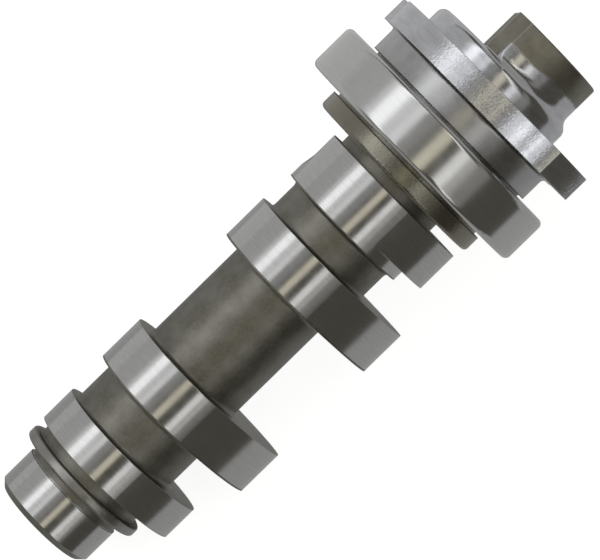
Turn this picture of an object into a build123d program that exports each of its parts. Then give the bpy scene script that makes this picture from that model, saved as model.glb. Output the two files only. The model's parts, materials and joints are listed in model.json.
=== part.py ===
from build123d import *
import math
import os

# Camshaft of a single-cylinder engine, with its ball bearing and its pressed-on sprocket hub.
#
# Everything is first modelled in shaft coordinates: X runs along the shaft from its free end to its
# drive end, and clock angles turn about X, with 0 at +Z and 90 at +Y.  The clock's zero is the centre
# line of the first sprocket ear.  At the end every piece is laid down in the place where the whole
# part comes to rest on a table.  The origin is the centre of the bearing.

# ---- driving dimensions (mm and degrees) ----

# stations along the shaft: the length of each section, from the free end
journal_length = 7.65
journal_radius = 10.0
journal_chamfer = 1.1
groove_width = 1.55
groove_step = 2.8
ring_width = 2.0
ring_radius = 12.5
ring_edge_round = 0.55
ring_neck_length = 2.0
ring_neck_step = 1.5
groove_radius = ring_radius - groove_step
ring_neck_radius = ring_radius - ring_neck_step

narrow_lobe_width = 6.7
narrow_lobe_base = 12.56
narrow_lobe_lift = 4.82
narrow_lobe_angle = -63.0
wide_lobe_width = 8.8
wide_lobe_base_step = 0.44
wide_lobe_lift = 8.67
wide_lobe_angle = -66.3
lobe_half_angle = 80.0
lobe_outline_points = 24
last_lobe_disc_width = 2.15
last_lobe_nose_width = 7.9

shaft_relief = 1.66
mid_shaft_relief = 2.61
shaft_length = 7.9
mid_shaft_length = 20.85
inner_shaft_length = 6.15
last_neck_length = 1.95
section_fillet_share = 0.48

flange_radius = 17.5
flange_width = 3.25
flange_edge_round = 0.8
shoulder_radius = 16.5
shoulder_width = 0.65

# ball bearing, 30 x 47 x 9
bearing_bore_radius = 15.0
bearing_outer_radius = 23.5
bearing_width = 9.0
bearing_edge_round = 1.1
bearing_bore_round = 0.5
bearing_inner_edge_round = 0.25
ball_count = 14
ball_share = 0.56
shoulder_share = 0.7
ball_running_clearance = 0.03
groove_conformity = 1.04

cage_sheet = 0.5
cage_side_clearance = 0.4
cage_pocket_clearance = 0.12
rivet_radius = 0.45
rivet_head_radius = 0.85
rivet_head_height = 0.3
rivet_clearance = 0.01

# hub pressed on the drive end
press_clearance = 0.005
spigot_radius = 12.0
spigot_length = 10.6
spigot_chamfer = 0.5
hub_bore_end_gap = 0.3
hub_abutment_step = 1.05
hub_abutment_width = 0.4
collar_step = 1.45
collar_length = 4.9
collar_fillet = 0.8
sprocket_disc_radius = 19.5
collar_radius = sprocket_disc_radius - collar_step
hub_abutment_radius = collar_radius - hub_abutment_step
sprocket_disc_width = 4.85
ear_tip_radius = 27.7
ear_centre_reach = 21.2
ear_side_radius = 8.2
ear_side_offset = 0.9
ear_root_radius = 12.0
ear_spacing_angle = 185.8
ear_bolt_reach = 21.5
ear_tap_radius = 2.5
ear_tap_chamfer = 0.5
pilot_radius = 14.95
pilot_length = 3.65
pilot_edge_round = 1.5
boss_step = 1.5
boss_length = 8.15
flare_round_share = 1.2
flare_fillet_share = 1.3333
boss_edge_round = 0.3
boss_flat_offset = 5.2
boss_flat_half_width = 11.0
boss_bevel_angle = 50.0

# decompressor pocket, bore and boss cut, which share one clock angle; oilway and centre holes
pocket_angle = 133.2
pocket_width = 6.8
pocket_start_in_lobe = 2.6
pocket_floor_radius = 8.2
decompressor_bore_radius = 3.0
decompressor_bore_reach = 7.0
decompressor_bore_end_gap = 1.0
oilway_radius = 3.0
oilway_depth = 30.0
oilway_mouth_radius = 4.5
oil_hole_station = 1.75
oil_hole_radius = 0.9
oil_hole_angle = 141.5
oil_hole_sink_radius = 1.9
oil_hole_sink_depth = 0.75
end_centre_radius = 2.0
centre_half_angle = 30.0
drill_half_angle = 59.0

# ---- stations worked out from the lengths ----

groove_start = journal_length
ring_start = groove_start + groove_width
ring_neck_start = ring_start + ring_width
lobe_1_start = ring_neck_start + ring_neck_length
shaft_1_start = lobe_1_start + narrow_lobe_width
lobe_2_start = shaft_1_start + shaft_length
mid_shaft_start = lobe_2_start + wide_lobe_width
lobe_3_start = mid_shaft_start + mid_shaft_length
shaft_3_start = lobe_3_start + wide_lobe_width
lobe_4_start = shaft_3_start + inner_shaft_length
last_nose_start = lobe_4_start + last_lobe_disc_width
last_neck_start = last_nose_start + last_lobe_nose_width
flange_start = last_neck_start + last_neck_length
shoulder_start = flange_start + flange_width
bearing_start = shoulder_start + shoulder_width
bearing_centre = bearing_start + bearing_width / 2
bearing_end = bearing_start + bearing_width
spigot_end = bearing_end + spigot_length
collar_start = bearing_end + hub_abutment_width
disc_start = collar_start + collar_length
disc_end = disc_start + sprocket_disc_width
pilot_end = disc_end + pilot_length
boss_end = pilot_end + boss_length

# ---- sizes worked out from the driving dimensions ----

wide_lobe_base = narrow_lobe_base + wide_lobe_base_step
shaft_radius = narrow_lobe_base - shaft_relief
mid_shaft_radius = narrow_lobe_base - mid_shaft_relief
section_fillet = section_fillet_share * shaft_relief

# the balls run midway between bore and outside, and fill their share of the rings' section
ball_pitch_radius = (bearing_bore_radius + bearing_outer_radius) / 2
ball_radius = ball_share * (bearing_outer_radius - bearing_bore_radius) / 2
inner_ring_shoulder_radius = ball_pitch_radius - shoulder_share * ball_radius
outer_ring_shoulder_radius = ball_pitch_radius + shoulder_share * ball_radius
ball_step = 360 / ball_count

# the flare's two rounds share its height, so they always leave room for each other
boss_radius = pilot_radius - boss_step
flare_round = flare_round_share * boss_step
flare_fillet = flare_fillet_share * boss_step
flare_start = pilot_end - boss_step / 2
flare_end = flare_start + boss_step


# ---- helpers ----

def clock(angle):
    """Turn about the shaft so that what points along +Z points to a clock angle."""
    return Rot(X=-angle)


def turned(outline, rounds=()):
    """Turn a closed outline of (station, radius) points about the shaft's axis.

    Each entry of rounds is (station, radius, size) of a corner to round."""
    face = make_face(Polyline(*outline, close=True))
    for station, radius, size in rounds:
        corner = face.vertices().sort_by_distance((station, radius, 0))[0]
        face = fillet(corner, size)
    return revolve(face, Axis.X)


def across_shaft(station):
    """A plane across the shaft: its X is clock angle 0, and its normal points to the drive end."""
    return Plane(origin=(station, 0, 0), x_dir=(0, 0, 1), z_dir=(1, 0, 0))


def disc(start, length, radius):
    """A plain cylinder on the shaft's axis."""
    return turned([(start, 0), (start, radius), (start + length, radius), (start + length, 0)])


def axial_rod(start, end, radius, reach):
    """A rod parallel to the shaft, at clock angle 0 and a reach from the axis."""
    return extrude(across_shaft(start) * Pos(reach, 0) * Circle(radius), amount=end - start)


# ---- camshaft ----

def lobe_support(angle, base, lift):
    """Distance from the axis to the lobe's tangent, and its slope, at an angle from the nose."""
    share = angle / math.radians(lobe_half_angle)
    if abs(share) >= 1:
        return base, 0.0
    rise = (1 - share**2) ** 2
    slope = -4 * share * (1 - share**2) / math.radians(lobe_half_angle)
    return base + lift * rise, lift * slope


def lobe_outline(base, lift):
    """Cam outline with its nose along +X: a smooth lift curve on a base circle."""
    half = math.radians(lobe_half_angle)
    points = []
    for index in range(lobe_outline_points + 1):
        angle = half * (2 * index / lobe_outline_points - 1)
        reach, slope = lobe_support(angle, base, lift)
        points.append((reach * math.cos(angle) - slope * math.sin(angle),
                       reach * math.sin(angle) + slope * math.cos(angle)))
    start_way = (math.sin(half), math.cos(half))
    end_way = (-math.sin(half), math.cos(half))
    nose = Spline(*points, tangents=[start_way, end_way])
    heel = ThreePointArc(points[-1], (-base, 0), points[0])
    return make_face([nose.edge(), heel.edge()])


def lobe(start, width, base, lift, angle):
    """One cam lobe with its nose at a clock angle."""
    blank = extrude(across_shaft(start) * lobe_outline(base, lift), amount=width)
    return clock(angle) * blank


def shaft_blank():
    """The turned shaft, with the heel circle of every lobe on it."""
    steps = [
        (groove_start, journal_radius),
        (ring_start, groove_radius),
        (ring_neck_start, ring_radius),
        (lobe_1_start, ring_neck_radius),
        (shaft_1_start, narrow_lobe_base),
        (lobe_2_start, shaft_radius),
        (mid_shaft_start, wide_lobe_base),
        (lobe_3_start, mid_shaft_radius),
        (shaft_3_start, wide_lobe_base),
        (lobe_4_start, shaft_radius),
        (last_neck_start, narrow_lobe_base),
        (flange_start, shaft_radius),
        (shoulder_start, flange_radius),
        (bearing_start, shoulder_radius),
        (bearing_end, bearing_bore_radius - press_clearance),
    ]
    outline = [(0, 0), (0, journal_radius - journal_chamfer)]
    start = journal_chamfer
    for end, radius in steps:
        outline += [(start, radius), (end, radius)]
        start = end
    outline += [
        (bearing_end, spigot_radius),
        (spigot_end - spigot_chamfer, spigot_radius),
        (spigot_end, spigot_radius - spigot_chamfer),
        (spigot_end, 0),
    ]
    rounds = [
        (ring_start, ring_radius, ring_edge_round),
        (ring_neck_start, ring_radius, ring_edge_round),
        (flange_start, flange_radius, flange_edge_round),
        (shaft_1_start, shaft_radius, section_fillet),
        (lobe_2_start, shaft_radius, section_fillet),
        (mid_shaft_start, mid_shaft_radius, section_fillet),
        (lobe_3_start, mid_shaft_radius, section_fillet),
        (shaft_3_start, shaft_radius, section_fillet),
        (lobe_4_start, shaft_radius, section_fillet),
    ]
    return turned(outline, rounds)


def decompressor_pocket():
    """The round-ended pocket in the heel of the last lobe, open towards the flange."""
    start = lobe_4_start + pocket_start_in_lobe
    end_centre = start + pocket_width / 2
    height = narrow_lobe_base + narrow_lobe_lift - pocket_floor_radius
    run = Pos(end_centre, 0, pocket_floor_radius) * Box(
        flange_start - end_centre, pocket_width, height, align=(Align.MIN, Align.CENTER, Align.MIN))
    end = Pos(end_centre, 0, pocket_floor_radius) * Cylinder(
        pocket_width / 2, height, align=(Align.CENTER, Align.CENTER, Align.MIN))
    return clock(pocket_angle) * (run + end)


def decompressor_bore():
    """The bore that leads from the pocket to the hub's end, beside the shaft's axis."""
    start = lobe_4_start + pocket_start_in_lobe + decompressor_bore_end_gap
    rod = axial_rod(start, pilot_end + boss_length, decompressor_bore_radius, decompressor_bore_reach)
    return clock(pocket_angle) * rod


def oilway():
    """The drilled oilway in the free end, with a centre cone at its mouth."""
    cone_depth = (oilway_mouth_radius - oilway_radius) / math.tan(math.radians(centre_half_angle))
    drill_tip = oilway_radius / math.tan(math.radians(drill_half_angle))
    return turned([(0, 0), (0, oilway_mouth_radius), (cone_depth, oilway_radius),
                   (oilway_depth, oilway_radius), (oilway_depth + drill_tip, 0)])


def oil_hole():
    """The small countersunk hole from the journal's surface to the oilway."""
    up = (Align.CENTER, Align.CENTER, Align.MIN)
    drill = Cylinder(oil_hole_radius, journal_radius, align=up)
    sink = Pos(0, 0, journal_radius - oil_hole_sink_depth) * Cone(
        oil_hole_radius, 2 * oil_hole_sink_radius - oil_hole_radius, 2 * oil_hole_sink_depth, align=up)
    return clock(oil_hole_angle) * Pos(oil_hole_station, 0, 0) * (drill + sink)


def camshaft():
    """The shaft in one piece with its four lobes."""
    body = shaft_blank()
    narrow = (narrow_lobe_base, narrow_lobe_lift, narrow_lobe_angle)
    wide = (wide_lobe_base, wide_lobe_lift, wide_lobe_angle)
    body += lobe(lobe_1_start, narrow_lobe_width, *narrow)
    body += lobe(lobe_2_start, wide_lobe_width, *wide)
    body += lobe(lobe_3_start, wide_lobe_width, *wide)
    body += lobe(last_nose_start, last_lobe_nose_width, *narrow)
    return body - decompressor_pocket() - decompressor_bore() - oilway() - oil_hole()


# ---- sprocket hub ----

def sprocket_plate():
    """The eared disc that the sprocket is screwed to."""
    side = Circle(ear_side_radius)
    ear = (Pos(ear_centre_reach, ear_side_offset) * side) & (Pos(ear_centre_reach, -ear_side_offset) * side)
    plate = Circle(sprocket_disc_radius) + ear + Rot(Z=-ear_spacing_angle) * ear
    roots = [corner for corner in plate.vertices()
             if abs(corner.center().length - sprocket_disc_radius) < ear_side_offset / 10]
    plate = fillet(roots, ear_root_radius) & Circle(ear_tip_radius)
    return extrude(across_shaft(disc_start) * plate, amount=sprocket_disc_width)


def screw_hole(angle):
    """The tapped hole in the ear at a clock angle, at tap drill size and countersunk at both ends."""
    mouth = ear_tap_radius + ear_tap_chamfer
    drill = turned([(disc_start, 0), (disc_start, mouth), (disc_start + ear_tap_chamfer, ear_tap_radius),
                    (disc_end - ear_tap_chamfer, ear_tap_radius), (disc_end, mouth), (disc_end, 0)])
    return clock(angle) * Pos(0, 0, ear_bolt_reach) * drill


def boss_cut():
    """What is cut away from the boss, to make room for the decompressor's weight.

    It leaves a flat with a broad bevel along each of its two edges."""
    room = 2 * boss_radius
    bevel_run = room * math.cos(math.radians(boss_bevel_angle))
    bevel_drop = room * math.sin(math.radians(boss_bevel_angle))
    flat_end = boss_flat_half_width
    outline = make_face(Polyline(
        (boss_flat_offset, flat_end),
        (boss_flat_offset - bevel_drop, flat_end + bevel_run),
        (room, flat_end + bevel_run),
        (room, -flat_end - bevel_run),
        (boss_flat_offset - bevel_drop, -flat_end - bevel_run),
        (boss_flat_offset, -flat_end),
        close=True))
    return clock(pocket_angle) * extrude(across_shaft(disc_end) * outline, amount=boss_end - disc_end)


def boss():
    """The boss, with a flare that runs up to the pilot's full size, and cut to a flat on one side."""
    outline = [
        (disc_end, 0),
        (disc_end, pilot_radius),
        (flare_start, pilot_radius),
        (flare_end, boss_radius),
        (boss_end, boss_radius),
        (boss_end, 0),
    ]
    rounds = [
        (flare_start, pilot_radius, flare_round),
        (flare_end, boss_radius, flare_fillet),
        (boss_end, boss_radius, boss_edge_round),
    ]
    return turned(outline, rounds) - boss_cut()


def sprocket_hub():
    """The pressed-on hub: collar, eared disc, sprocket pilot and half-cut boss."""
    outline = [
        (bearing_end, 0),
        (bearing_end, hub_abutment_radius),
        (collar_start, hub_abutment_radius),
        (collar_start, collar_radius),
        (disc_start, collar_radius),
        (disc_start, sprocket_disc_radius),
        (disc_end, sprocket_disc_radius),
        (disc_end, pilot_radius),
        (pilot_end, pilot_radius),
        (pilot_end, 0),
    ]
    rounds = [
        (disc_start, collar_radius, collar_fillet),
        (pilot_end, pilot_radius, pilot_edge_round),
    ]
    body = turned(outline, rounds) + sprocket_plate() + boss()
    body -= decompressor_bore() + screw_hole(0) + screw_hole(ear_spacing_angle)
    body -= disc(bearing_end, spigot_length + hub_bore_end_gap, spigot_radius + press_clearance)
    centre_depth = end_centre_radius / math.tan(math.radians(centre_half_angle))
    return body - turned([(boss_end - centre_depth, 0), (boss_end, end_centre_radius), (boss_end, 0)])


# ---- ball bearing, made about its own centre plane ----

def bearing_ring(inner, outer, groove_centre, bore_rounds):
    """A bearing ring with its ball groove."""
    section = Pos(0, (inner + outer) / 2) * Rectangle(bearing_width, outer - inner)
    for radius, size in bore_rounds:
        corners = [corner for corner in section.vertices() if abs(corner.Y - radius) < size / 10]
        section = fillet(corners, size)
    section -= Pos(0, groove_centre) * Circle(ball_radius * groove_conformity)
    return Pos(bearing_centre, 0, 0) * revolve(section, Axis.X)


def bearing_outer_ring():
    bottom = ball_pitch_radius + ball_radius + ball_running_clearance
    return bearing_ring(outer_ring_shoulder_radius, bearing_outer_radius, bottom - ball_radius * groove_conformity,
                        [(bearing_outer_radius, bearing_edge_round),
                         (outer_ring_shoulder_radius, bearing_inner_edge_round)])


def bearing_inner_ring():
    bottom = ball_pitch_radius - ball_radius - ball_running_clearance
    return bearing_ring(bearing_bore_radius, inner_ring_shoulder_radius, bottom + ball_radius * groove_conformity,
                        [(bearing_bore_radius, bearing_bore_round),
                         (inner_ring_shoulder_radius, bearing_inner_edge_round)])


def at_ball(index, piece):
    """Put a piece made at the origin at one ball's place in the bearing."""
    return clock(index * ball_step) * Pos(bearing_centre, 0, ball_pitch_radius) * piece


def ball(index):
    return at_ball(index, Sphere(ball_radius))


def cage_band(start, length):
    """The ring-shaped room that the cage may fill between the two bearing rings."""
    inner = inner_ring_shoulder_radius + cage_side_clearance
    outer = outer_ring_shoulder_radius - cage_side_clearance
    start += bearing_centre
    return disc(start, length, outer) - disc(start, length, inner)


def cage_half(side):
    """One pressed half of the cage: a flat ribbon that bulges round each ball."""
    pocket = ball_radius + cage_pocket_clearance
    cup = pocket + cage_sheet
    low = min(0, side * cage_sheet)
    half = cage_band(low, cage_sheet)
    room = cage_band(min(0, side * cup), cup)
    for index in range(ball_count):
        half += at_ball(index, Sphere(cup)) & room
    for index in range(ball_count):
        half -= at_ball(index, Sphere(pocket))
        half -= at_ball(index + 0.5, rivet_shank(rivet_radius + rivet_clearance))
    return half


def rivet_shank(radius):
    return Rot(Y=90) * Cylinder(radius, 2 * cage_sheet)


def cage_rivets():
    """The rivets that join the two halves of the cage, one between each pair of balls."""
    rivets = []
    for index in range(ball_count):
        rivet = rivet_shank(rivet_radius)
        for side in (-1, 1):
            head = Rot(Y=90) * Cylinder(rivet_head_radius, rivet_head_height)
            rivet += Pos(side * (cage_sheet + rivet_head_height / 2), 0, 0) * head
        rivets.append(at_ball(index + 0.5, rivet))
    return Compound(children=rivets)


# ---- the place where the part comes to rest ----

def resting_place():
    """Pitch, roll and height at rest: it lies on its thrust ring, its bearing and its first lobe.

    The table touches the rounded edges of ring and bearing, and the part rolls on them towards its
    lobes, which are its heavy side, until the first lobe's flank meets the table too."""
    ring_corner = ring_start + ring_edge_round
    run = bearing_start + bearing_edge_round - ring_corner
    rise = bearing_outer_radius - bearing_edge_round - (ring_radius - ring_edge_round)
    rounder = bearing_edge_round - ring_edge_round
    pitch = math.atan2(rise, run) + math.asin(rounder / math.hypot(run, rise))
    depth = ring_radius - ring_edge_round + ring_edge_round / math.cos(pitch) - ring_corner * math.tan(pitch)
    lobe_depth = depth + lobe_1_start * math.tan(pitch)
    near, far = 0, math.radians(lobe_half_angle)
    for _ in range(40):
        middle = (near + far) / 2
        if lobe_support(middle, narrow_lobe_base, narrow_lobe_lift)[0] > lobe_depth:
            near = middle
        else:
            far = middle
    roll = math.degrees(far) - 180 - narrow_lobe_angle
    height = (depth + bearing_centre * math.tan(pitch)) * math.cos(pitch)
    return math.degrees(pitch), roll, height


def lay_down(piece):
    """Move a piece from shaft coordinates to where it lies, with the bearing's centre at the origin."""
    pitch, roll, height = resting_place()
    return Rot(Y=-pitch) * clock(roll) * Pos(-bearing_centre, 0, 0) * piece


def main():
    os.makedirs("parts", exist_ok=True)
    pieces = {
        "camshaft": camshaft(),
        "sprocket_hub": sprocket_hub(),
        "bearing_outer_ring": bearing_outer_ring(),
        "bearing_inner_ring": bearing_inner_ring(),
        "cage_half_inner": cage_half(-1),
        "cage_half_outer": cage_half(1),
        "cage_rivets": cage_rivets(),
    }
    for index in range(ball_count):
        pieces[f"ball_{index + 1:02d}"] = ball(index)
    for name, piece in pieces.items():
        export_step(lay_down(piece), f"parts/{name}.step")
    pitch, roll, height = resting_place()
    print(f"pitch {pitch:.3f}  roll {roll:.3f}  table {height:.3f} below the origin")
    print(f"bearing centre at {bearing_centre:.3f}, length {boss_end:.3f}")


main()
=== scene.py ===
# %% [markdown]
# # An engine's camshaft on a pale table
# The part is a solid steel shaft with four cam lobes, a ball bearing near its drive end, and a pressed-on
# hub that carries the timing sprocket. The solid model is already packed as a fixed frame, so this lesson
# adds what a solid model lacks: the finish of each surface, the table, the lights and the camera.
# Loading comes first, and the box that the bare model fills is kept.

# %% Load the frame
import json
import math

import bpy
from mathutils import Matrix, Vector


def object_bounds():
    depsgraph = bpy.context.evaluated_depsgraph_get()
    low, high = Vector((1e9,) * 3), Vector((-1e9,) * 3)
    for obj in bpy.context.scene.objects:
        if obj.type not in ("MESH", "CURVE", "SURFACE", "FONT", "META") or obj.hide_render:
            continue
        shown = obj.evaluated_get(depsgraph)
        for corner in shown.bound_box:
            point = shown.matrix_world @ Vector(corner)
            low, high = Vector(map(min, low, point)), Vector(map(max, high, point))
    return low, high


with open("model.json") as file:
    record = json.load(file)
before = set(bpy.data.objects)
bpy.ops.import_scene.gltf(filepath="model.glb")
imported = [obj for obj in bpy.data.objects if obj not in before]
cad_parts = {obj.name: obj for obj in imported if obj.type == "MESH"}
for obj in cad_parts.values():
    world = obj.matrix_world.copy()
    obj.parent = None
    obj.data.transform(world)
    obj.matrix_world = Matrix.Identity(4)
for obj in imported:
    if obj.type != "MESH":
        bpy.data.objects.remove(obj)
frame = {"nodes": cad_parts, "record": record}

cad_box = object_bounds()
nodes = frame["nodes"]
record = frame["record"]
mm = 0.001
print("nodes", len(nodes), "box", [round(1000 * side, 1) for side in cad_box[1] - cad_box[0]], "mm")

# %% [markdown]
# ## Where the shaft runs
# The part lies on a small ring, a lobe and its bearing, so the shaft slopes a little. Every finish on it
# was made on a lathe or a grinder, so its marks follow the shaft and not the table. The slope could be
# typed in, but the frame knows it: the bearing's joint turns about the shaft, and the first sprocket screw
# says how far the shaft has rolled. Two helpers then give a direction or a point from a station along the
# shaft, in millimetres from its free end, and a clock angle about it.

# %% Find the shaft
joint = record["behaviour"]["joints"][0]
mounts = {mount["name"]: mount for mount in record["mounts"]}
shaft_way = Vector(joint["axis"]).normalized()
bearing_centre = Vector(joint["pos_m"])
screw_reach = Vector(mounts["sprocket_screw_1"]["pos_m"]) - bearing_centre
clock_zero = (screw_reach - screw_reach.dot(shaft_way) * shaft_way).normalized()
clock_ninety = clock_zero.cross(shaft_way)
free_end = min(vertex.co.dot(shaft_way) for vertex in nodes["camshaft"].data.vertices)
bearing_station = (bearing_centre.dot(shaft_way) - free_end) / mm


def outward(clock_angle):
    """The direction straight away from the shaft's axis, at a clock angle in degrees."""
    angle = math.radians(clock_angle)
    return clock_zero * math.cos(angle) + clock_ninety * math.sin(angle)


def on_axis(station):
    """The point of the shaft's axis that lies so many millimetres from its free end."""
    return bearing_centre + shaft_way * (station - bearing_station) * mm


slope = math.degrees(math.asin(shaft_way.z))
print("slope", round(slope, 2), "degrees, bearing at", round(bearing_station, 2), "mm")

# %% [markdown]
# ## The camera
# A long lens from a good half metre away keeps the lobes' sides nearly edge on. The camera looks across the
# shaft from a clock angle, stands a little towards the drive end, and is rolled so that the shaft rises to
# the upper right. It could be aimed with a constraint, but three directions written out as the columns of
# a matrix show exactly what it does, and they stay put when the view is changed later.

# %% Place the camera
view_clock = 45.5        # degrees about the shaft
view_station = 60.94     # millimetres from the free end
view_drop = 1.39         # millimetres below the shaft's axis
view_distance = 583.2    # millimetres
long_lens = 204.84       # focal length for a 36 mm wide frame
lean_to_drive_end = math.radians(3.42)
roll = math.radians(44.38)

towards_camera = outward(view_clock)
picture_up = outward(view_clock + 90)
aim = on_axis(view_station) - picture_up * view_drop * mm
back = towards_camera * math.cos(lean_to_drive_end) + shaft_way * math.sin(lean_to_drive_end)
along = shaft_way * math.cos(lean_to_drive_end) - towards_camera * math.sin(lean_to_drive_end)
up = along * math.sin(roll) + picture_up * math.cos(roll)
right = up.cross(back)


def facing(place, x_way, y_way, z_way):
    """A matrix that puts an object in a place, with its own axes along three directions."""
    return Matrix.Translation(place) @ Matrix((x_way, y_way, z_way)).transposed().to_4x4()


def put_in_scene(name, data):
    """Make an object from its data and link it to the scene."""
    made = bpy.data.objects.new(name, data)
    bpy.context.scene.collection.objects.link(made)
    return made


camera = put_in_scene("camera", bpy.data.cameras.new("camera"))
camera.data.lens = long_lens
camera.data.sensor_width = 36.0
camera.data.clip_start = 0.01
camera.data.clip_end = 20.0
camera.matrix_world = facing(aim + back * view_distance * mm, right, up, back)
bpy.context.scene.camera = camera
print("camera at", [round(value, 3) for value in camera.location])

# %% [markdown]
# ## Soft boxes along the shaft
# Polished and ground steel has hardly any colour of its own: what the eye reads as its shape is the
# reflection of long pale panels, which lie on a cylinder as bands that run along it. So the lights are
# rectangles along the shaft, each at its own angle about it: bright ones make the bands, faint ones the
# soft falls beside them, and the gaps between them make the dark lines. The lower panels are slanted a
# little, so their bands lie lower on the lobes than on the bearing. One panel is warm, as lamp light is
# beside daylight. A panel's brightness as a mirror shows it is its power over its area and pi, so the
# helper takes the brightness and works out the power.

# %% Hang the soft boxes
def soft_box(name, angle, width, brightness, colour=(1, 1, 1), slant=0, length=1.4, distance=0.75):
    """A panel along the shaft, at an angle in degrees up from the camera's side of it."""
    turn, tilt = math.radians(angle), math.radians(slant)
    way = towards_camera * math.cos(turn) + picture_up * math.sin(turn)
    long_way = shaft_way * math.cos(tilt) + way.cross(shaft_way) * math.sin(tilt)
    lamp = bpy.data.lights.new(name, "AREA")
    lamp.shape = "RECTANGLE"
    lamp.size = length
    lamp.size_y = 2 * distance * math.tan(math.radians(width / 2))
    lamp.energy = brightness * math.pi * lamp.size * lamp.size_y
    lamp.color = colour
    box = put_in_scene(name, lamp)
    box.matrix_world = facing(on_axis(view_station) + way * distance, long_way, way.cross(long_way), way)
    box.visible_camera = False
    return box


daylight = (0.96, 0.97, 1.0)
lamplight = (1.0, 0.94, 0.76)
# name, angle, width in degrees, brightness
soft_boxes = [
    soft_box("wall_upper", 77, 38, 0.42, daylight),
    soft_box("key_rim", 54.5, 7, 0.68, daylight),
    soft_box("key", 44, 14, 1.52, daylight),
    soft_box("upper_gap", 31.5, 11, 0.72, daylight),
    soft_box("upper", 22, 8, 0.95, daylight),
    soft_box("faint", 12, 12, 0.24, daylight),
    soft_box("fainter", 3, 6, 0.12, daylight),
    soft_box("warm", -6.5, 10.5, 0.75, lamplight),
    soft_box("lower", -28.5, 9, 1.0, slant=24),
    soft_box("low", -38, 10, 0.42, slant=24),
    soft_box("last", -50, 14, 0.18),
]
print("soft boxes", len(soft_boxes))

# %% [markdown]
# ## Fill at the two ends
# The long panels leave both ends of the shaft in the dark: a face square to the shaft mirrors what stands
# beyond the end, and so do the rounded edges. A large, faint panel beyond each end is enough.

# %% Hang the end panels
def end_panel(name, way, brightness, side=1.2, distance=1.1):
    """A square panel beyond one end of the shaft, facing it."""
    lamp = bpy.data.lights.new(name, "AREA")
    lamp.size = side
    lamp.energy = brightness * math.pi * side ** 2
    panel = put_in_scene(name, lamp)
    place = on_axis(view_station) + way * distance
    panel.matrix_world = facing(place, picture_up, way.cross(picture_up), way)
    panel.visible_camera = False
    return panel


end_panels = [end_panel("free_end_fill", -shaft_way, 0.3), end_panel("drive_end_fill", shaft_way, 0.3)]
print("end panels", len(end_panels))

# %% [markdown]
# ## A dim, warm room
# Between the panels the metal mirrors the room. A black one would look like outer space, so the world is a
# dark, slightly yellow grey, which gives the shaded side of every lobe its colour. The view transform is
# Standard, because it leaves greys as they are, and steel is all greys.

# %% Light the room
world = bpy.data.worlds.new("dim room")
world.use_nodes = True
world.node_tree.nodes["Background"].inputs["Color"].default_value = (0.088, 0.083, 0.070, 1)
bpy.context.scene.world = world
bpy.context.scene.view_settings.view_transform = "Standard"
print("world", world.name)

# %% [markdown]
# ## The table
# The part lies on a plain pale table. One sheet does for table and backdrop: a wide dish that is flat under
# the part and rises to a closed dome far away, so that a low camera meets no horizon. Its paint gives off
# a little light of its own, which keeps it white with only a faint shadow under the part. The sheet is
# hidden from mirrors, because a white room all around would wash out the bands on the steel.

# %% Lay the table
table_height = cad_box[0].z


def dish(radii_and_heights, sides=64):
    """A turned sheet: its outline's rings, joined by faces, with the first ring closed by a disc."""
    points, faces = [], []
    for radius, height in radii_and_heights:
        for side in range(sides):
            angle = 2 * math.pi * side / sides
            points.append((radius * math.cos(angle), radius * math.sin(angle), table_height + height))
    faces.append(tuple(range(sides)))
    for ring in range(len(radii_and_heights) - 1):
        for side in range(sides):
            here, beside = ring * sides + side, ring * sides + (side + 1) % sides
            faces.append((here, here + sides, beside + sides, beside))
    return points, faces


def sheet(name, outline):
    """Make a sheet from its outline."""
    mesh = bpy.data.meshes.new(name)
    points, faces = dish(outline)
    mesh.from_pydata(points, [], faces)
    mesh.polygons.foreach_set("use_smooth", [True] * len(mesh.polygons))
    made = put_in_scene(name, mesh)
    return made


def glowing(name, base, strength):
    """A matt paint that also gives off a little light of its own."""
    paint = bpy.data.materials.new(name)
    paint.use_nodes = True
    shader = paint.node_tree.nodes["Principled BSDF"]
    shader.inputs["Base Color"].default_value = (base, base, base, 1)
    shader.inputs["Roughness"].default_value = 0.9
    shader.inputs["Specular IOR Level"].default_value = 0.0
    shader.inputs["Emission Color"].default_value = (1, 1, 1, 1)
    shader.inputs["Emission Strength"].default_value = strength
    return paint


flat_radius, bend = 1.2, 2.0
rise = [(flat_radius + bend * math.sin(math.radians(turn)), bend - bend * math.cos(math.radians(turn)))
        for turn in range(0, 91, 15)]
dome = [(3.0, 3.2), (2.0, 4.2), (0.5, 4.6)]
table = sheet("table", [(0.4, 0)] + rise + dome)
table.data.materials.append(glowing("pale table", 0.5, 0.87))
table.visible_glossy = False
table.visible_diffuse = False
print("table at", round(table_height / mm, 2), "mm")

# %% [markdown]
# ## What the metal sees of the table
# A cylinder turns pale again where it turns down towards a table, and the pale edge starts where the table's
# own edge is mirrored. So the metal mirrors a real table top: two level strips at table height that only
# reflections can see, with an open edge about a hand's width in front of the part, a little askew to the
# shaft. The strip behind is brighter, because the light comes from there.

# %% Lay the strips that mirrors see
edge_turn = math.radians(14)
level_way = Vector((shaft_way.x, shaft_way.y, 0)).normalized()
edge_way = Matrix.Rotation(-edge_turn, 3, "Z") @ level_way
rear_way = Vector((0, 0, 1)).cross(edge_way)


def mirrored_sheet(name, front, rear, glow):
    """A strip of table that only mirrors see, from so far in front of the part to so far behind it."""
    middle = on_axis(view_station)
    middle.z = table_height - 0.5 * mm
    half = 0.9
    corners = [middle + edge_way * across + rear_way * reach
               for across, reach in ((-half, front), (half, front), (half, rear), (-half, rear))]
    mesh = bpy.data.meshes.new(name)
    mesh.from_pydata(corners, [], [(0, 1, 2, 3)])
    made = put_in_scene(name, mesh)
    made.data.materials.append(glowing(name, 0.0, glow))
    made.visible_camera = made.visible_diffuse = made.visible_shadow = False
    return made


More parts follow.
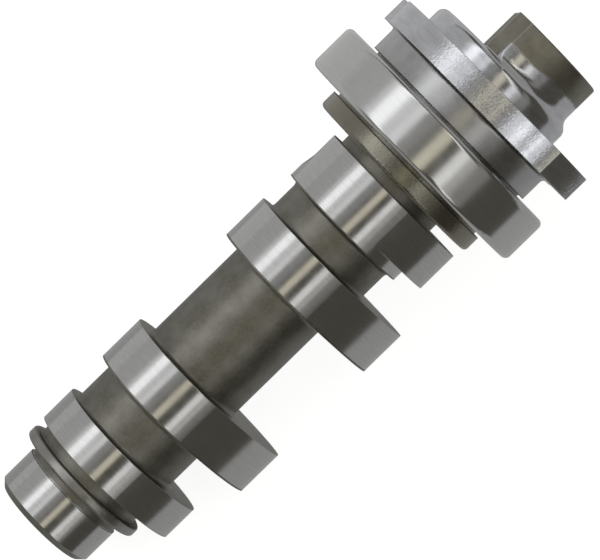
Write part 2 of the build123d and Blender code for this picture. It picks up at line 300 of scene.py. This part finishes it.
strips = [
    mirrored_sheet("sheet_in_front", -0.115, 0.04, 0.40),
    mirrored_sheet("sheet_behind", 0.04, 0.9, 0.56),
]
print("strips", [strip.name for strip in strips])

# %% [markdown]
# ## A place for every mark
# A finish needs to know where it is on the shaft: how far along, how far out, at which clock angle, and
# whether the surface runs along the shaft or stands square to it. That is worked out once, as a node group
# that measures an object's own coordinates against the shaft. Object coordinates turn with a body when its
# joint moves, so the marks stay on the metal. All lengths come out in millimetres, the unit of the marks.

# %% Build the group that measures the shaft
def add(tree, kind, feeds=(), **settings):
    """Add a node, set its properties, and give each of its first sockets a number or another's output."""
    node = tree.nodes.new(kind)
    for name, value in settings.items():
        setattr(node, name, value)
    for socket, feed in zip(node.inputs, feeds):
        if isinstance(feed, bpy.types.NodeSocket):
            tree.links.new(feed, socket)
        elif feed is not None:
            socket.default_value = feed
    return node


def maths(tree, operation, *feeds):
    """One step of arithmetic, as a node's output."""
    return add(tree, "ShaderNodeMath", feeds, operation=operation).outputs[0]


def along_way(tree, vector, way):
    """How far a vector reaches along a direction."""
    return add(tree, "ShaderNodeVectorMath", (vector, tuple(way)), operation="DOT_PRODUCT").outputs["Value"]


def between(tree, value, low, high, soft=0.05):
    """One where a value lies between two limits, and zero elsewhere, with soft ends."""
    rising = add(tree, "ShaderNodeMapRange", (value, low - soft, low + soft)).outputs[0]
    falling = add(tree, "ShaderNodeMapRange", (value, high - soft, high + soft, 1.0, 0.0)).outputs[0]
    return maths(tree, "MULTIPLY", rising, falling)


def shaft_measure():
    """The group: station, distance from the axis, clock angle in radians, squareness, and a place in mm."""
    tree = bpy.data.node_groups.new("shaft measure", "ShaderNodeTree")
    for name in ("Station", "Distance", "Clock", "Squareness"):
        tree.interface.new_socket(name, in_out="OUTPUT", socket_type="NodeSocketFloat")
    tree.interface.new_socket("Place", in_out="OUTPUT", socket_type="NodeSocketVector")
    give = tree.nodes.new("NodeGroupOutput")
    here = tree.nodes.new("ShaderNodeTexCoord")
    place = add(tree, "ShaderNodeVectorMath", (here.outputs["Object"],), operation="SCALE")
    place.inputs["Scale"].default_value = 1 / mm
    offset = along_way(tree, place.outputs[0], shaft_way)
    level = along_way(tree, place.outputs[0], clock_zero)
    across = along_way(tree, place.outputs[0], clock_ninety)
    distance = maths(tree, "SQRT", maths(tree, "ADD", maths(tree, "MULTIPLY", level, level),
                                         maths(tree, "MULTIPLY", across, across)))
    square = maths(tree, "ABSOLUTE", along_way(tree, here.outputs["Normal"], shaft_way))
    tree.links.new(maths(tree, "ADD", offset, bearing_station), give.inputs["Station"])
    tree.links.new(distance, give.inputs["Distance"])
    tree.links.new(maths(tree, "ARCTAN2", across, level), give.inputs["Clock"])
    tree.links.new(square, give.inputs["Squareness"])
    tree.links.new(place.outputs[0], give.inputs["Place"])
    return tree


measure = shaft_measure()
print("measures", [item.name for item in measure.interface.items_tree])

# %% [markdown]
# ## Marks left by the tools
# Turning and grinding leave fine rings round the shaft: on a surface that runs along it they follow one
# another along the shaft, and on a square face they are circles that follow one another outwards. Noise
# that is squeezed hard in one direction gives such rings, and it is more natural than evenly spaced waves,
# because a grinding wheel has coarse and fine grains. A second, even noise gives the dull, slightly
# pitted skin of steel that was left as it came from the forge or the hardening furnace. The rings are
# squeezed along the clock angle too, so each mark fades out after a few millimetres.

# %% Build the groups for rings and for grain
def ring_marks():
    """The group: fine rings about the shaft, so many to the millimetre."""
    tree = bpy.data.node_groups.new("ring marks", "ShaderNodeTree")
    tree.interface.new_socket("Rings per mm", in_out="INPUT", socket_type="NodeSocketFloat")
    tree.interface.new_socket("Height", in_out="OUTPUT", socket_type="NodeSocketFloat")
    take, give = tree.nodes.new("NodeGroupInput"), tree.nodes.new("NodeGroupOutput")
    at = add(tree, "ShaderNodeGroup", node_tree=measure)
    is_square = maths(tree, "GREATER_THAN", at.outputs["Squareness"], 0.7)
    path = add(tree, "ShaderNodeMix", data_type="FLOAT")
    tree.links.new(is_square, path.inputs["Factor"])
    tree.links.new(at.outputs["Station"], path.inputs["A"])
    tree.links.new(at.outputs["Distance"], path.inputs["B"])
    step = maths(tree, "MULTIPLY", path.outputs["Result"], take.outputs["Rings per mm"])
    lay = add(tree, "ShaderNodeCombineXYZ", (step, maths(tree, "MULTIPLY", at.outputs["Clock"], 4.0), 0.0))
    noise = add(tree, "ShaderNodeTexNoise", (lay.outputs[0],))
    noise.inputs["Scale"].default_value = 1.0
    noise.inputs["Detail"].default_value = 3.0
    tree.links.new(noise.outputs["Fac"], give.inputs["Height"])
    return tree


def grain():
    """The group: even noise with spots of a chosen size in millimetres."""
    tree = bpy.data.node_groups.new("grain", "ShaderNodeTree")
    tree.interface.new_socket("Spots per mm", in_out="INPUT", socket_type="NodeSocketFloat")
    tree.interface.new_socket("Height", in_out="OUTPUT", socket_type="NodeSocketFloat")
    take, give = tree.nodes.new("NodeGroupInput"), tree.nodes.new("NodeGroupOutput")
    at = add(tree, "ShaderNodeGroup", node_tree=measure)
    noise = add(tree, "ShaderNodeTexNoise", (at.outputs["Place"],))
    tree.links.new(take.outputs["Spots per mm"], noise.inputs["Scale"])
    noise.inputs["Detail"].default_value = 4.0
    noise.inputs["Roughness"].default_value = 0.6
    tree.links.new(noise.outputs["Fac"], give.inputs["Height"])
    return tree


rings, spots = ring_marks(), grain()


def ring_height(tree, per_mm):
    """Rings in a material: about a half, more or less."""
    return add(tree, "ShaderNodeGroup", (per_mm,), node_tree=rings).outputs["Height"]


def spot_height(tree, per_mm):
    """Grain in a material: about a half, more or less."""
    return add(tree, "ShaderNodeGroup", (per_mm,), node_tree=spots).outputs["Height"]


print("mark groups", rings.name, spots.name)

# %% [markdown]
# ## Steel with worn edges
# Every steel surface here is the same metal shader, with a base colour for how much it reflects, a
# roughness for how sharply, and a fine bump. What differs is the finish, so one helper builds the shader
# and each finish feeds it. The helper also breaks the sharp edges, as a maker does with a file: a Bevel
# node bends the light near an edge as if it were rounded, and where it bends most the edge is rubbed
# bright. The solid model keeps its sharp edges, and the file stays light.

# %% A helper that builds a steel
def blend(tree, factor, first, second):
    """Mix two numbers, or two outputs that carry numbers."""
    node = add(tree, "ShaderNodeMix", data_type="FLOAT")
    for name, feed in (("Factor", factor), ("A", first), ("B", second)):
        if isinstance(feed, bpy.types.NodeSocket):
            tree.links.new(feed, node.inputs[name])
        else:
            node.inputs[name].default_value = feed
    return node.outputs["Result"]


def blend_colour(tree, factor, first, second):
    """Mix two colours, or two outputs that carry colours."""
    node = add(tree, "ShaderNodeMix", data_type="RGBA")
    feeds = {0: factor, 6: first, 7: second}
    for index, feed in feeds.items():
        if isinstance(feed, bpy.types.NodeSocket):
            tree.links.new(feed, node.inputs[index])
        elif index == 0:
            node.inputs[index].default_value = feed
        else:
            node.inputs[index].default_value = (*feed, 1)
    return node.outputs[2]


def steel(name, edge_radius=0.25, edge_wear=0.5, edge_shine=(0.62, 0.62, 0.61)):
    """Start a steel, and give back its tree and a function that finishes it."""
    material = bpy.data.materials.new(name)
    material.use_nodes = True
    tree = material.node_tree
    shader = tree.nodes["Principled BSDF"]
    shader.inputs["Metallic"].default_value = 1.0

    def finish(colour, roughness, height, depth):
        """Feed the shader: colour, roughness, and a height whose full range is so many millimetres deep."""
        soft = add(tree, "ShaderNodeBevel", (edge_radius * mm,), samples=6)
        true = tree.nodes.new("ShaderNodeNewGeometry")
        straight = add(tree, "ShaderNodeVectorMath", (soft.outputs[0], true.outputs["Normal"]),
                       operation="DOT_PRODUCT").outputs["Value"]
        bend = add(tree, "ShaderNodeMapRange", (straight, 0.99, 0.80, 0.0, edge_wear)).outputs[0]
        patchy = maths(tree, "MULTIPLY", bend, add(tree, "ShaderNodeMapRange", (
            spot_height(tree, 0.9), 0.35, 0.6, 0.3, 1.0)).outputs[0])
        bump = add(tree, "ShaderNodeBump", (1.0, depth * mm))
        tree.links.new(height, bump.inputs["Height"])
        tree.links.new(soft.outputs[0], bump.inputs["Normal"])
        tree.links.new(blend_colour(tree, patchy, colour, edge_shine), shader.inputs["Base Color"])
        tree.links.new(blend(tree, patchy, roughness, 0.25), shader.inputs["Roughness"])
        tree.links.new(bump.outputs[0], shader.inputs["Normal"])
        return material

    return tree, finish


def measured(tree):
    """The shaft's measures, for use in a material."""
    return add(tree, "ShaderNodeGroup", node_tree=measure).outputs


def spread(tree, value, low, high):
    """Stretch a noise, which stays near a half, over a range."""
    return add(tree, "ShaderNodeMapRange", (value, 0.3, 0.7, low, high)).outputs[0]


print("helpers ready")

# %% [markdown]
# ## The camshaft: ground lobes on a dark forging
# The shaft is forged and hardened, which leaves it a dark olive grey with a dull skin. Only what runs
# against something is ground bright: the end journal and the outside of the four lobes. The thrust ring
# and the flange are turned, and lie between the two; the flange is the smoother and browner of them. A
# separate material for each surface would need the mesh cut up, so one material chooses by station: a ramp
# along the shaft says how far each stretch was worked, and faces that stand square to the shaft stay dark.
# Surfaces that lie deep in a pocket get the dark skin as well, as painted shade.

# %% Finish the camshaft
worked_from = [
    (0.0, 1.0),       # journal, ground
    (7.6, 0.0),       # oil groove
    (9.2, 0.36),      # thrust ring, turned
    (11.2, 0.0),
    (13.2, 1.0),      # first lobe
    (19.9, 0.0),
    (27.8, 1.0),      # second lobe
    (36.6, 0.0),
    (57.45, 1.0),     # third lobe
    (66.25, 0.0),
    (72.4, 1.0),      # fourth lobe
    (82.4, 0.0),
    (84.4, 0.14),     # flange, turned
    (87.65, 0.0),
]


def shaft_steel():
    """Dark skin where the forging shows, ground steel where it was ground or turned, and painted shade, as
    dark skin, deep in the pocket.
    """
    tree, finish = steel("forged and ground steel", edge_wear=0.35)
    at = measured(tree)
    ramp = add(tree, "ShaderNodeValToRGB", (maths(tree, "DIVIDE", at["Station"], 100.0),))
    ramp.color_ramp.interpolation = "CONSTANT"
    while len(ramp.color_ramp.elements) < len(worked_from):
        ramp.color_ramp.elements.new(0.5)
    for element, (start, share) in zip(ramp.color_ramp.elements, worked_from):
        element.position = start / 100
        element.color = (share, share, share, 1)
    on_outside = maths(tree, "LESS_THAN", at["Squareness"], 0.5)
    beyond_groove = maths(tree, "GREATER_THAN", at["Station"], 12.0)
    # painted shade: surfaces close to the axis, deep in the pocket, get the dark skin instead of the ground
    # finish
    clear_of_pocket_shade = maths(tree, "GREATER_THAN", at["Distance"],
                        maths(tree, "MULTIPLY_ADD", beyond_groove, 3.2, 9.0))
    # the ground finish's share, with the pocket's painted shade taken out of it
    worked_and_pocket_shade = maths(tree, "MULTIPLY", ramp.outputs[0], maths(tree, "MULTIPLY", on_outside, clear_of_pocket_shade))
    mottle = spread(tree, spot_height(tree, 0.28), 0.0, 1.0)
    speckle = spread(tree, spot_height(tree, 2.2), 0.0, 1.0)
    lines = ring_height(tree, 3.5)
    skin = blend_colour(tree, mottle, (0.150, 0.142, 0.112), (0.235, 0.228, 0.195))
    skin = blend_colour(tree, maths(tree, "MULTIPLY", speckle, 0.3), skin, (0.34, 0.335, 0.31))
    bright = blend_colour(tree, spread(tree, lines, 0.0, 1.0), (0.51, 0.506, 0.495), (0.56, 0.558, 0.548))
    colour = blend_colour(tree, worked_and_pocket_shade, skin, bright)
    on_flange = maths(tree, "GREATER_THAN", at["Station"], 84.3)
    colour = blend_colour(tree, maths(tree, "MULTIPLY", on_flange, 0.75), colour, (0.25, 0.235, 0.185))
    dull = blend(tree, on_flange, blend(tree, speckle, 0.34, 0.46), blend(tree, speckle, 0.22, 0.30))
    shiny = blend(tree, mottle, 0.14, 0.19)
    roughness = blend(tree, worked_and_pocket_shade, dull, shiny)
    rough_height = maths(tree, "ADD", maths(tree, "MULTIPLY", speckle, 0.7),
                         maths(tree, "MULTIPLY", lines, 0.6))
    fine_height = maths(tree, "ADD", maths(tree, "MULTIPLY", spot_height(tree, 1.6), 0.05),
                        maths(tree, "MULTIPLY", lines, 0.08))
    height = blend(tree, worked_and_pocket_shade, rough_height, fine_height)
    return finish(colour, roughness, height, 0.02)


# %% [markdown]
# ## The hub: four finishes side by side
# The hub is a bluish, tumbled steel. Its collar was turned and then tumbled, so it is softly brushed. The
# rim of the eared disc keeps a hammered skin that breaks the light into small flashes. The pilot, which
# centres the sprocket, is smooth, and so is the flare that leads to the boss. From a wavy edge on, the end
# of the boss is dark olive, because only the part near the flare was polished, and the flat that is cut
# into it is dark too. As on the shaft, bands of stations choose between the finishes.

# %% Finish the hub
def hub_steel():
    """Brushed collar, hammered disc, smooth pilot and flare, dark boss end and dark flat."""
    tree, finish = steel("tumbled hub steel", edge_radius=0.3, edge_wear=0.7, edge_shine=(0.72, 0.73, 0.75))
    at = measured(tree)
    mottle = spread(tree, spot_height(tree, 0.3), 0.0, 1.0)
    lines = ring_height(tree, 2.6)
    streaks = spread(tree, ring_height(tree, 0.9), 0.0, 1.0)
    dimples = add(tree, "ShaderNodeTexNoise", (at["Place"],))
    dimples.inputs["Scale"].default_value = 2.2
    dimples.inputs["Detail"].default_value = 1.0
    hammer = maths(tree, "MULTIPLY", dimples.outputs["Fac"], 0.6)
    on_rim = maths(tree, "MULTIPLY", between(tree, at["Station"], 102.6, 107.45),
                   maths(tree, "LESS_THAN", at["Squareness"], 0.5))
    on_collar = between(tree, at["Station"], 97.0, 102.5)
    wave = spread(tree, spot_height(tree, 0.08), -0.5, 0.5)
    dark_from = maths(tree, "ADD", wave, 114.7)
    past_edge = add(tree, "ShaderNodeMapRange", (maths(tree, "SUBTRACT", at["Station"], dark_from),
                                                 -0.25, 0.25)).outputs[0]
    in_cut = maths(tree, "MULTIPLY", maths(tree, "GREATER_THAN", at["Station"], 111.3),
                   maths(tree, "LESS_THAN", at["Distance"], 13.3))
    dark = maths(tree, "MAXIMUM", past_edge, in_cut)
    silver = blend_colour(tree, streaks, (0.54, 0.545, 0.565), (0.65, 0.655, 0.675))
    collar = blend_colour(tree, mottle, (0.40, 0.40, 0.40), (0.50, 0.50, 0.495))
    silver = blend_colour(tree, on_collar, silver, collar)
    olive = blend_colour(tree, mottle, (0.22, 0.21, 0.17), (0.31, 0.30, 0.245))
    colour = blend_colour(tree, dark, silver, olive)
    smooth = blend(tree, on_collar, blend(tree, streaks, 0.15, 0.20), blend(tree, mottle, 0.24, 0.32))
    roughness = blend(tree, dark, blend(tree, on_rim, smooth, 0.24), 0.42)
    smooth_height = maths(tree, "ADD", maths(tree, "MULTIPLY", lines, 0.03),
                          maths(tree, "MULTIPLY", mottle, 0.10))
    height = blend(tree, on_rim, smooth_height, hammer)
    return finish(colour, roughness, height, 0.06)


# %% [markdown]
# ## The bearing
# A bearing's rings are the best finished surfaces of the part: hardened, ground all over, with very fine
# rings on the outside and lapped grooves inside. Its cage is pressed from sheet, bright but uneven, with
# small rivets, and its balls are polished like mirrors, with only a film of oil to tell where they have
# rolled. The same helper makes all three, and only the numbers differ.

# %% Finish the bearing
def ring_steel():
    """Ground bearing steel, with fine rings and a slightly uneven sheen."""
    tree, finish = steel("ground bearing steel", edge_radius=0.15, edge_wear=0.25)
    lines = ring_height(tree, 4.5)
    cloud = spread(tree, spot_height(tree, 0.22), 0.0, 1.0)
    colour = blend_colour(tree, spread(tree, lines, 0.0, 1.0), (0.57, 0.57, 0.56), (0.61, 0.61, 0.60))
    roughness = blend(tree, cloud, 0.15, 0.19)
    height = maths(tree, "ADD", maths(tree, "MULTIPLY", lines, 0.9),
                   maths(tree, "MULTIPLY", spot_height(tree, 1.8), 0.4))
    return finish(colour, roughness, height, 0.002)


def cage_steel():
    """Sheet steel from a press: bright, a little dull where the die rubbed."""
    tree, finish = steel("pressed cage steel", edge_radius=0.1, edge_wear=0.5)
    cloud = spread(tree, spot_height(tree, 0.8), 0.0, 1.0)
    colour = blend_colour(tree, cloud, (0.36, 0.35, 0.32), (0.52, 0.51, 0.48))
    return finish(colour, blend(tree, cloud, 0.38, 0.26), spot_height(tree, 3.0), 0.008)


def ball_steel():
    """Polished balls with a faint film of oil."""
    tree, finish = steel("polished ball steel", edge_radius=0.05, edge_wear=0.0)
    film = spread(tree, spot_height(tree, 0.7), 0.0, 1.0)
    colour = blend_colour(tree, film, (0.66, 0.65, 0.62), (0.74, 0.74, 0.74))
    return finish(colour, blend(tree, film, 0.10, 0.05), film, 0.0006)


def dress(node, material):
    """Give a part of the frame its finish."""
    node.data.materials.clear()
    node.data.materials.append(material)


finishes = {
    "camshaft": shaft_steel(),
    "sprocket_hub": hub_steel(),
    "bearing_outer_ring": ring_steel(),
    "cage_half_inner": cage_steel(),
    "ball_01": ball_steel(),
}
finishes["bearing_inner_ring"] = finishes["bearing_outer_ring"]
finishes["cage_half_outer"] = finishes["cage_rivets"] = finishes["cage_half_inner"]
for name, node in nodes.items():
    dress(node, finishes.get(name, finishes["ball_01"]))
print("finishes", sorted({material.name for material in finishes.values()}))
